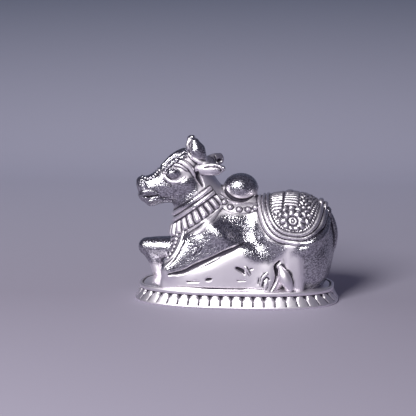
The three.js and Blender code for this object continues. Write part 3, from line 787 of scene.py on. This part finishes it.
def collar_lift(points):
    """Height of the collar over the neck: two smooth cords, and a row of pendants under them."""
    x, y, z = points[:, 0] - COLLAR_MIDDLE[0], points[:, 1], points[:, 2] - COLLAR_MIDDLE[1]
    sine, cosine = math.sin(COLLAR_SLOPE), math.cos(COLLAR_SLOPE)
    up, deep = -x * sine + z * cosine, -x * cosine - z * sine
    share_deep, share_wide = deep / COLLAR_HALF_DEEP, y / COLLAR_HALF_WIDE
    out, angle = np.hypot(share_deep, share_wide), np.arctan2(share_wide, share_deep)
    fine = np.linspace(-math.pi, math.pi, ROUND_NECK_STEPS)
    steps = np.hypot(COLLAR_HALF_DEEP * np.diff(np.cos(fine)), COLLAR_HALF_WIDE * np.diff(np.sin(fine)))
    gone = np.concatenate([[0], np.cumsum(steps)])
    round_neck = np.interp(angle, fine, gone / gone[-1])
    offset = in_cell(round_neck, 1 / PENDANTS) * PENDANTS
    length = PENDANT_LENGTH * (1 - PENDANT_SHORTER + PENDANT_SHORTER * np.sin(np.abs(angle)))
    down = (PENDANT_TOP - up) / length
    blunt_ends = np.clip(1 - (2 * down - 1) ** PENDANT_POWER, 0, 1) * (down > 0) * (down < 1)
    lift = ridges(up, COLLAR_CORDS) + PENDANT_HEIGHT * rounded(offset, PENDANT_HALF) * blunt_ends
    lift += ridges(up - PENDANT_TOP + length, [ROLL])
    on_neck = (out < np.where(up > REACH_CHANGE, CORD_REACH, PENDANT_REACH)) & (deep > COLLAR_REAR)
    return np.where(on_neck & (up > COLLAR_LOW) & (up < COLLAR_HIGH), lift, 0)


def figure_mesh():
    """The bull with all its carving."""
    mesh = body_mesh()
    carving = Carving(mesh)
    points = carving.points
    cloth, in_field = cloth_lift(points[:, 0], drop_over_back(points))
    carving.lift += np.where(on_back(points), cloth, 0)
    carving.lift = np.maximum(carving.lift, collar_lift(points))
    carving.lines(NEAR_SIDE_LINES)
    for side in (NEAR, FAR):
        carving.lines(BOTH_SIDES_LINES, side)
        carving.lines(HEAD_LINES, side, head=True)
        carving.dots(NOSE_DOTS, NOSE_DOT_COUNT, NOSE_DOT_RADIUS, side, head=True)
        for spot in carving.on_skin(SHOULDER_BEADS, side):
            carving.line(spot[None], SHOULDER_BEAD_RADIUS, SHOULDER_BEAD_RADIUS + SHOULDER_BEAD_STAND)
    carving.lines(FAR_EAR_LINES, head=True)
    for row in CHEST_ROWS:
        carving.dots(row, CHEST_BEAD_COUNT, CHEST_BEAD_RADIUS)
    carving.apply()
    near = Neighbours(mesh)
    put_points(mesh, near.relax(points_of(mesh), 1))
    return mesh, np.column_stack([near.hollows(mesh), polish_and_shade_of(points, near, in_field)])


# Where the skin is polished, keeps the grain of the mould and is painted darker as painted shade, as
# outlines in the side view; the rest is frosted. The first list is for the body, the second for the
# straight head.
POLISHED_AND_SHADED_BODY = [
    # shoulder, flank and the front of the barrel
    [(-7.9, 9.5), (-8.6, 8.4), (-9.0, 7.3), (-10.0, 5.2), (-11.6, 3.4), (-10.8, 2.8), (-8.5, 3.3),
     (-6.2, 4.5), (-4.0, 5.5), (-2.0, 6.5), (0.2, 7.6), (1.4, 7.4), (2.0, 5.9), (3.8, 4.9), (6.4, 4.9),
     (8.4, 6.2), (9.2, 7.5), (6.0, 8.8), (4.4, 10.4), (3.7, 12.0), (3.0, 12.5), (0.8, 12.3),
     (-1.2, 12.6), (-2.4, 12.3), (-4.1, 10.4), (-6.0, 9.3)],
    # hump
    [(-2.0, 17.2), (-1.0, 15.9), (0.7, 15.3), (2.6, 15.8), (4.2, 16.6), (4.2, 20.5), (-2.0, 20.5)],
    # hip and haunch
    [(9.6, 6.6), (11.0, 6.2), (11.9, 5.5), (12.0, -2.0), (18.0, -2.0), (18.0, 13.5), (15.2, 13.4),
     (14.8, 11.0), (13.2, 9.1), (11.0, 7.9)],
    # knee
    [(-18.0, 7.8), (-10.9, 7.8), (-11.2, 5.0), (-12.5, 2.4), (-18.0, 2.4)],
]
POLISHED_AND_SHADED_HEAD = [
    # cheek and muzzle
    [(-17.9, 19.2), (-13.2, 19.4), (-12.9, 18.3), (-11.3, 17.5), (-9.6, 18.0), (-8.0, 18.9),
     (-7.1, 17.6), (-7.6, 13.6), (-17.9, 12.8)],
    # horns
    [(-8.2, 22.3), (-5.2, 21.6), (-5.2, 26.5), (-8.0, 26.5)],
    # eye
    [(-12.6, 18.9), (-11.0, 18.3), (-9.6, 19.1), (-10.6, 20.2), (-12.0, 20.0)],
    # forehead
    [(-13.4, 19.9), (-12.4, 19.5), (-10.8, 20.9), (-8.8, 22.0), (-8.6, 24.2), (-11.5, 23.4)],
]
# The ends of the ears are polished, and painted darker as painted shade, in part: the near one inside an
# outline, and the far one past a corner in x, y and z, as far back as a last x
NEAR_EAR_END = [(-5.0, 18.8), (-2.2, 19.2), (-2.2, 21.5), (-5.0, 21.4)]
FAR_EAR_FROM, FAR_EAR_TO_X = (-3.2, 2.6, 18.6), -1.0
NEAR_EAR_POLISH_AND_SHADE, FAR_EAR_POLISH_AND_SHADE = 0.5, 0.4
# The outlines of the head hold above this height and in front of this x
HEAD_FROM_Z, HEAD_TO_X = 13.2, -4.6
POLISH_BLUR = 8


def within(x, z, outline):
    """Which points of a side view lie inside an outline."""
    inside = np.zeros(len(x), bool)
    for (x1, z1), (x2, z2) in zip(outline, outline[1:] + outline[:1]):
        if z1 != z2:
            inside ^= ((z1 > z) != (z2 > z)) & (x < (x2 - x1) * (z - z1) / (z2 - z1) + x1)
    return inside


def polish_and_shade_of(points, near, in_field):
    """How polished the skin is, from 0 where it is frosted to 1, with soft borders; polished skin is also
    painted darker, as painted shade.
    """
    x, z = points[:, 0], points[:, 2]
    straight = turned(points, -HEAD_TURN)
    on_head = (z > HEAD_FROM_Z) & (straight[:, 0] < HEAD_TO_X)
    polish_and_shade = np.zeros(len(points))
    for outline in POLISHED_AND_SHADED_BODY:
        polish_and_shade[within(x, z, outline)] = 1
    for outline in POLISHED_AND_SHADED_HEAD:
        polish_and_shade[on_head & within(straight[:, 0], straight[:, 2], outline)] = 1
    polish_and_shade[within(straight[:, 0], straight[:, 2], NEAR_EAR_END)] = NEAR_EAR_POLISH_AND_SHADE
    polish_and_shade[(straight > FAR_EAR_FROM).all(axis=1) & (x < FAR_EAR_TO_X)] = FAR_EAR_POLISH_AND_SHADE
    polish_and_shade = np.maximum(polish_and_shade, CLOTH_POLISH_AND_SHADE * (in_field & on_back(points)))
    for _ in range(POLISH_BLUR):
        polish_and_shade = near.mean(polish_and_shade)
    return polish_and_shade


def thinned(mesh, values):
    """The mesh with flat parts in fewer faces, and the same values at its own points."""
    triangles = sum(len(face.vertices) - 2 for face in mesh.polygons)
    if triangles <= MOST_TRIANGLES:
        return mesh, values
    tree = KDTree(len(mesh.vertices))
    for i, vert in enumerate(mesh.vertices):
        tree.insert(vert.co, i)
    tree.balance()
    lean = with_modifier(mesh, "DECIMATE", ratio=MOST_TRIANGLES / triangles)
    return lean, values[[tree.find(vert.co)[1] for vert in lean.vertices]]


# Silver: scales of noise are to the metre, and colours are linear
FROSTED_SILVER = (0.97, 0.925, 0.985, 1)
# The polished colours are painted: a darker tone as painted shade for the dim room that polished silver
# reflects, speckled with painted glints
POLISHED_PAINTED_SHADE, POLISHED_PAINTED_GLINT = (0.25, 0.24, 0.285, 1), (0.71, 0.70, 0.75, 1)
PLAIN_SILVER, TARNISH = (0.9, 0.88, 0.92, 1), (0.1, 0.09, 0.12, 1)
TARNISH_SCALE, TARNISH_DETAIL, TARNISH_UNEVEN, TARNISH_FROM = 900, 3, 0.5, 0.42
GRAIN_SCALE, GRAIN_DETAIL, GLINT_SPECKLE_RANGE = 3800, 3, (0.38, 0.62)
DENT_SCALE, DENT_DETAIL, DENT_SHARE = 700, 2, 0.25
GRAIN_RELIEF = 0.09 * MM
FROSTED_ROUGHNESS, POLISHED_ROUGHNESS, TARNISH_ROUGHNESS = 0.46, 0.17, 0.3
COLOUR, NUMBER = "NodeSocketColor", "NodeSocketFloat"


def new_group(name, inputs, outputs):
    """A shader group: its inputs have a kind and a first value, its outputs have a kind."""
    group = bpy.data.node_groups.new(name, "ShaderNodeTree")
    for label, kind, value in inputs:
        group.interface.new_socket(label, in_out="INPUT", socket_type=kind).default_value = value
    for label, kind in outputs:
        group.interface.new_socket(label, in_out="OUTPUT", socket_type=kind)
    return group, group.nodes.new("NodeGroupInput"), group.nodes.new("NodeGroupOutput")


def feed(tree, node, inputs):
    """Gives a node its inputs: sockets of other nodes are linked, plain values are set."""
    for label, value in inputs.items():
        if isinstance(value, bpy.types.NodeSocket):
            tree.links.new(value, node.inputs[label])
        else:
            node.inputs[label].default_value = value


def add(tree, kind, inputs=None, **settings):
    """A new shader node with its settings and inputs."""
    node = tree.nodes.new("ShaderNode" + kind)
    for name, value in settings.items():
        setattr(node, name, value)
    feed(tree, node, inputs or {})
    return node


def combined(tree, operation, first, second):
    """The sum or product of two values."""
    return add(tree, "Math", {0: first, 1: second}, operation=operation).outputs[0]


def blend(tree, share, first, second):
    """A colour between two colours."""
    inputs = {"Factor": share, "A": first, "B": second}
    return add(tree, "Mix", inputs, data_type="RGBA").outputs["Result"]


def mapped(tree, value, given=(0.0, 1.0), wanted=(0.0, 1.0)):
    """A value carried from one range to another."""
    ends = ("From Min", "From Max", "To Min", "To Max")
    inputs = {"Value": value, **dict(zip(ends, (*given, *wanted)))}
    return add(tree, "MapRange", inputs).outputs[0]


def object_place(tree):
    """The piece's own coordinates, in metres."""
    return add(tree, "TexCoord").outputs["Object"]


def noise(tree, scale, detail):
    """Cloudy values that stay with the metal."""
    inputs = {"Vector": object_place(tree), "Scale": scale, "Detail": detail}
    return add(tree, "TexNoise", inputs).outputs[0]


def mark(tree, name):
    """A value that rides on the points of the mesh."""
    return add(tree, "Attribute", attribute_name=name).outputs["Fac"]


def hollow_tarnish():
    """Dark tarnish that stays in hollows, where polishing does not reach."""
    inputs = [("Bright", COLOUR, PLAIN_SILVER), ("Tarnish", COLOUR, TARNISH), ("Strength", NUMBER, 1.0)]
    tree, given, made = new_group("hollow_tarnish", inputs, [("Color", COLOUR), ("Dark", NUMBER)])
    uneven = combined(tree, "MULTIPLY", noise(tree, TARNISH_SCALE, TARNISH_DETAIL), TARNISH_UNEVEN)
    ramp = add(tree, "ValToRGB", {"Fac": combined(tree, "ADD", mark(tree, "hollow"), uneven)})
    ramp.color_ramp.elements[0].position = TARNISH_FROM
    dark = combined(tree, "MULTIPLY", ramp.outputs["Color"], given.outputs["Strength"])
    colour = blend(tree, dark, given.outputs["Bright"], given.outputs["Tarnish"])
    feed(tree, made, {"Color": colour, "Dark": dark})
    return tree


def cast_skin():
    """The unevenness of cast metal: broad dents, and grain from the mould where it is polished; its noise
    also speckles the painted glints.
    """
    inputs = [("Grain", NUMBER, 1.0), ("Dents", NUMBER, DENT_SHARE)]
    outputs = [("Height", NUMBER), ("Polish_and_shade", NUMBER), ("Glint_speckle", NUMBER)]
    tree, given, made = new_group("cast_skin", inputs, outputs)
    polish_and_shade = mark(tree, "polish_and_shade")
    grains = noise(tree, GRAIN_SCALE, GRAIN_DETAIL)
    grainy = combined(tree, "MULTIPLY", polish_and_shade, given.outputs["Grain"])
    fine = combined(tree, "MULTIPLY", grains, grainy)
    broad = combined(tree, "MULTIPLY", noise(tree, DENT_SCALE, DENT_DETAIL), given.outputs["Dents"])
    height = combined(tree, "ADD", fine, broad)
    feed(tree, made, {"Height": height, "Polish_and_shade": polish_and_shade, "Glint_speckle": mapped(tree, grains, GLINT_SPECKLE_RANGE)})
    return tree


def silver(name):
    """Cast silver, partly polished and partly frosted, with tarnish in its hollows; its polished parts
    are painted darker, as painted shade for the dim room they reflect, with painted glints.
    """
    finish = bpy.data.materials.new(name)
    finish.use_nodes = True
    tree = finish.node_tree
    skin_marks = add(tree, "Group", node_tree=cast_skin()).outputs
    # Polished parts get painted shade, speckled with painted glints
    painted_glints = blend(tree, skin_marks["Glint_speckle"], POLISHED_PAINTED_SHADE, POLISHED_PAINTED_GLINT)
    bright = blend(tree, skin_marks["Polish_and_shade"], FROSTED_SILVER, painted_glints)
    dark = add(tree, "Group", node_tree=hollow_tarnish())
    feed(tree, dark, {"Bright": bright})
    bump = add(tree, "Bump", {"Height": skin_marks["Height"], "Strength": 1.0, "Distance": GRAIN_RELIEF})
    dull = mapped(tree, skin_marks["Polish_and_shade"], wanted=(FROSTED_ROUGHNESS, POLISHED_ROUGHNESS))
    tarnished = combined(tree, "MULTIPLY", dark.outputs["Dark"], TARNISH_ROUGHNESS)
    feed(tree, tree.nodes["Principled BSDF"], {
        "Metallic": 1.0,
        "Base Color": dark.outputs["Color"],
        "Roughness": combined(tree, "ADD", dull, tarnished),
        "Normal": bump.outputs["Normal"],
    })
    return finish


def as_piece(name, mesh, finish, hollow, polish_and_shade):
    """Hangs a mesh in millimetres on the frame as a finished piece in metres."""
    put_points(mesh, points_of(mesh) * MM)
    for label, values in (("hollow", hollow), ("polish_and_shade", polish_and_shade)):
        layer = mesh.attributes.new(label, "FLOAT", "POINT")
        layer.data.foreach_set("value", values.astype(np.float32))
    mesh.polygons.foreach_set("use_smooth", np.ones(len(mesh.polygons), bool))
    mesh.materials.clear()
    mesh.materials.append(finish)
    piece = in_scene(name, mesh)
    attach(piece, "root")
    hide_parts("nandi_bull_figure")


# The plinth: half sizes and squareness of its outline, heights of foot and rim, and how far in the
# band between them leans
PLINTH_HALF_LENGTH, PLINTH_HALF_WIDTH, PLINTH_POWER = 17.6, 8.7, 2.6
PLINTH_FOOT, PLINTH_RIM, PLINTH_SPLAY = 0.45, 0.75, 0.75
ROUND_PLINTH_STEPS = 4000
# Shares of the way out at which its underside and its top have rings of points
UNDERSIDE_SHARES, TOP_SHARES = (0.0, 0.4, 0.8), np.arange(8, -1, -1) / 9
# Steps of the foot: height, and how far in from the foot's outline
FOOT_STEPS = [(0.0, 0.0), (0.12, -0.08), (PLINTH_FOOT - 0.12, -0.08), (PLINTH_FOOT, 0.05)]
# Steps of the rim, and of the groove on top: height from the top, and how far in beyond the lean
RIM_STEPS = [
    (-PLINTH_RIM, 0.2), (0.07 - PLINTH_RIM, -0.02), (-0.1, -0.04), (0.0, 0.08),
    (0.0, 0.5), (-0.12, 0.62), (-0.12, 0.8), (0.0, 0.92),
]
# The petal band: how far in it begins, and how far it stays clear of foot and rim
BAND_INSET, BAND_CLEAR = 0.05, 0.04
PETALS, PETAL_COLUMNS, PETAL_LEVELS = 48, 20, 16
# Near the plinth's ends the tips lean to its middle, by up to this share of a petal's width
PETAL_LEAN, LEAN_POWER = 0.8, 3
# A petal in shares of its width and of the band's height: half width, where its tip begins, how long
# and how blunt the tip is, and the border that falls off to the gap beside it
PETAL_HALF, TIP_FROM, TIP_LENGTH, TIP_POWER = 0.46, 0.5, 0.52, 2.4
BORDER_FROM, BORDER_WIDTH = 0.06, 0.09
# The pit between two tips: its height, how it is squeezed across and up, and its radius
PIT_AT, PIT_ACROSS, PIT_UP, PIT_RADIUS = 0.78, 1.1, 1.5, 0.3
# Depths: gap, pit, what every second pit has more, and how a petal's face rounds off sideways
GAP_DEPTH, PIT_DEPTH, SECOND_PIT_DEPTH, CROWN = 0.2, 0.1, 0.16, 0.2


def plinth_outline(count):
    """Points at even steps round the plinth's foot, and the way out at each."""
    fine = np.linspace(0, 2 * math.pi, ROUND_PLINTH_STEPS)
    x = PLINTH_HALF_LENGTH * signed_power(np.cos(fine), 2 / PLINTH_POWER)
    y = PLINTH_HALF_WIDTH * signed_power(np.sin(fine), 2 / PLINTH_POWER)
    gone = np.concatenate([[0], np.cumsum(np.hypot(np.diff(x), np.diff(y)))])
    even = np.linspace(0, gone[-1], count, endpoint=False)
    x, y = np.interp(even, gone, x), np.interp(even, gone, y)
    along = np.column_stack([np.roll(x, -1) - np.roll(x, 1), np.roll(y, -1) - np.roll(y, 1)])
    along /= np.linalg.norm(along, axis=1)[:, None]
    return np.column_stack([x, y]), np.column_stack([along[:, 1], -along[:, 0]])


def petal_depth(up, across, second):
    """How far the petal band is cut back, at a share of its height and of a petal's width."""
    tip = np.clip(up - TIP_FROM, 0, 1) / TIP_LENGTH
    half = PETAL_HALF * np.sqrt(np.clip(1 - tip**TIP_POWER, 0, 1))
    gap = np.clip((np.abs(across) - half + BORDER_FROM) / BORDER_WIDTH, 0, 1)
    pit = rounded(np.hypot((0.5 - np.abs(across)) * PIT_ACROSS, (up - PIT_AT) * PIT_UP), PIT_RADIUS)
    return GAP_DEPTH * gap + (PIT_DEPTH + SECOND_PIT_DEPTH * second) * pit + CROWN * across**2


def plinth_mesh():
    """The plinth as rings of points, from the middle of its underside to the middle of its top."""
    columns = PETALS * PETAL_COLUMNS
    outline, outward = plinth_outline(columns)
    count = np.arange(columns) / PETAL_COLUMNS
    share_out = outline[:, 0] / PLINTH_HALF_LENGTH
    lean = PETAL_LEAN * share_out**LEAN_POWER * np.sign(-outline[:, 1])
    band_low = PLINTH_FOOT + BAND_CLEAR
    band_height = PLINTH_HEIGHT - PLINTH_RIM - BAND_CLEAR - band_low
    steps = list(FOOT_STEPS)
    for up in np.linspace(0, 1, PETAL_LEVELS):
        at = count + lean * (up - 0.5)
        depth = petal_depth(up, at % 1 - 0.5, np.floor(at + 0.5) % 2)
        steps.append((band_low + band_height * up, BAND_INSET + PLINTH_SPLAY * up + depth))
    steps += [(PLINTH_HEIGHT + up, PLINTH_SPLAY + cut) for up, cut in RIM_STEPS]
    rings = [(0.0, outline * share) for share in UNDERSIDE_SHARES]
    rings += [(z, outline - outward * np.reshape(cut, (-1, 1))) for z, cut in steps]
    rings += [(PLINTH_HEIGHT, rings[-1][1] * share) for share in TOP_SHARES]
    spots = np.array([np.column_stack([flat, np.full(columns, z)]) for z, flat in rings])
    form = bmesh.new()
    wrapped(form, columns, len(rings) - 1, lambda band, column: spots[band, column])
    bmesh.ops.recalc_face_normals(form, faces=form.faces)
    return mesh_of(form, "plinth")


finish = silver("cast_silver")
bull, bull_marks = thinned(*figure_mesh())
put_points(bull, points_of(bull) + (0, 0, PLINTH_HEIGHT))
as_piece("nandi_bull", bull, finish, *bull_marks.T)
plinth = plinth_mesh()
plinth_hollow = Neighbours(plinth).hollows(plinth)
as_piece("lotus_plinth", plinth, finish, plinth_hollow, np.zeros(len(plinth_hollow)))

# Studio, in metres: the sweep's half width, front edge and length, and where and how wide it bends
SWEEP_HALF_WIDTH, SWEEP_FRONT, SWEEP_LENGTH, SWEEP_STEPS = 0.6, -0.3, 0.9, 60
BEND_FROM, BEND = 0.15, 0.12
# Its paper's colour changes with depth, from the front one, and then with height: darker towards the top,
# as painted shade for the window's light falling off
PAPER_FRONT, PAPER_DEPTH = (0.40, 0.37, 0.47, 1), 0.15
PAPER_LOW, PAPER_TOP_PAINTED_SHADE, PAPER_HEIGHT = (0.76, 0.75, 0.92, 1), (0.24, 0.265, 0.36, 1), 0.055
PAPER_ROUGHNESS = 0.8
ROOM_COLOUR = (0.1, 0.095, 0.13, 1)
WINDOW_PLACE, WINDOW_AIM, WINDOW_SIZE = (-0.1, -0.235, 0.19), (0, 0, 0.012), (0.11, 0.14)
WINDOW_WATTS, WINDOW_COLOUR = 1.0, (1.0, 0.99, 0.97)
# The photograph's side and the pixel that the camera aims at, and the pixels to a millimetre there
PHOTO_SIDE, AIM_PIXEL, PIXELS_PER_MM = 416, (236.5, 218), 5.8
# The camera: turned from square on, raised, its distance, the height that it aims at, and its sensor
CAMERA_TURN, CAMERA_RISE, CAMERA_DISTANCE, AIM_HEIGHT = math.radians(6), math.radians(10), 0.2, 0.014
SENSOR_WIDTH = 36
NEAREST, FARTHEST = 0.01, 10


def studio_sweep():
    """A pale floor that curves up into a cool grey backdrop, painted darker towards its top as painted
    shade.
    """
    form = bmesh.new()
    bmesh.ops.create_grid(form, x_segments=2, y_segments=SWEEP_STEPS, size=1)
    for vert in form.verts:
        run = (vert.co.y + 1) / 2 * SWEEP_LENGTH + SWEEP_FRONT
        turn = max(0.0, min(math.pi / 2, (run - BEND_FROM) / BEND))
        rise = max(0.0, run - BEND_FROM - BEND * math.pi / 2)
        depth = min(run, BEND_FROM) + BEND * math.sin(turn)
        vert.co = (vert.co.x * SWEEP_HALF_WIDTH, depth, BEND * (1 - math.cos(turn)) + rise)
    mesh = mesh_of(form, "sweep")
    mesh.polygons.foreach_set("use_smooth", np.ones(len(mesh.polygons), bool))
    paper = bpy.data.materials.new("pale_paper")
    paper.use_nodes = True
    tree = paper.node_tree
    place = add(tree, "SeparateXYZ", {0: object_place(tree)}).outputs
    backdrop = blend(tree, mapped(tree, place["Z"], (0.0, PAPER_HEIGHT)), PAPER_LOW, PAPER_TOP_PAINTED_SHADE)
    colour = blend(tree, mapped(tree, place["Y"], (0.0, PAPER_DEPTH)), PAPER_FRONT, backdrop)
    feed(tree, tree.nodes["Principled BSDF"], {"Base Color": colour, "Roughness": PAPER_ROUGHNESS})
    mesh.materials.append(paper)
    in_scene("studio_sweep", mesh)


def look_from(holder, place, ahead):
    """Puts a lamp or a camera at a place, looking ahead."""
    holder.location = place
    holder.rotation_mode = "QUATERNION"
    holder.rotation_quaternion = ahead.to_track_quat("-Z", "Y")


def soft_light(name, place, aim, size, watts, colour):
    """A broad lamp, such as a window."""
    lamp = bpy.data.lights.new(name, "AREA")
    lamp.shape = "RECTANGLE"
    lamp.size, lamp.size_y = size
    lamp.energy = watts
    lamp.color = colour
    look_from(in_scene(name, lamp), place, Vector(aim) - Vector(place))


def photo_camera():
    """The photograph's camera: a little round from square on, and a little raised."""
    flat = math.cos(CAMERA_RISE)
    back = Vector((math.sin(CAMERA_TURN) * flat, -math.cos(CAMERA_TURN) * flat, math.sin(CAMERA_RISE)))
    lens = bpy.data.cameras.new("camera")
    lens.sensor_width = SENSOR_WIDTH
    lens.lens = PIXELS_PER_MM * CAMERA_DISTANCE / MM / PHOTO_SIDE * SENSOR_WIDTH
    lens.shift_x = (PHOTO_SIDE / 2 - AIM_PIXEL[0]) / PHOTO_SIDE
    lens.shift_y = (AIM_PIXEL[1] - PHOTO_SIDE / 2) / PHOTO_SIDE
    lens.clip_start, lens.clip_end = NEAREST, FARTHEST
    camera = in_scene("camera", lens)
    look_from(camera, Vector((0, 0, AIM_HEIGHT)) + back * CAMERA_DISTANCE, -back)
    bpy.context.scene.camera = camera


def surroundings():
    """The dim room round the figure."""
    world = bpy.data.worlds.new("room")
    bpy.context.scene.world = world
    world.use_nodes = True
    world.node_tree.nodes["Background"].inputs["Color"].default_value = ROOM_COLOUR
    bpy.context.scene.view_settings.view_transform = "Standard"


studio_sweep()
photo_camera()
surroundings()
soft_light("window", WINDOW_PLACE, WINDOW_AIM, WINDOW_SIZE, WINDOW_WATTS, WINDOW_COLOUR)
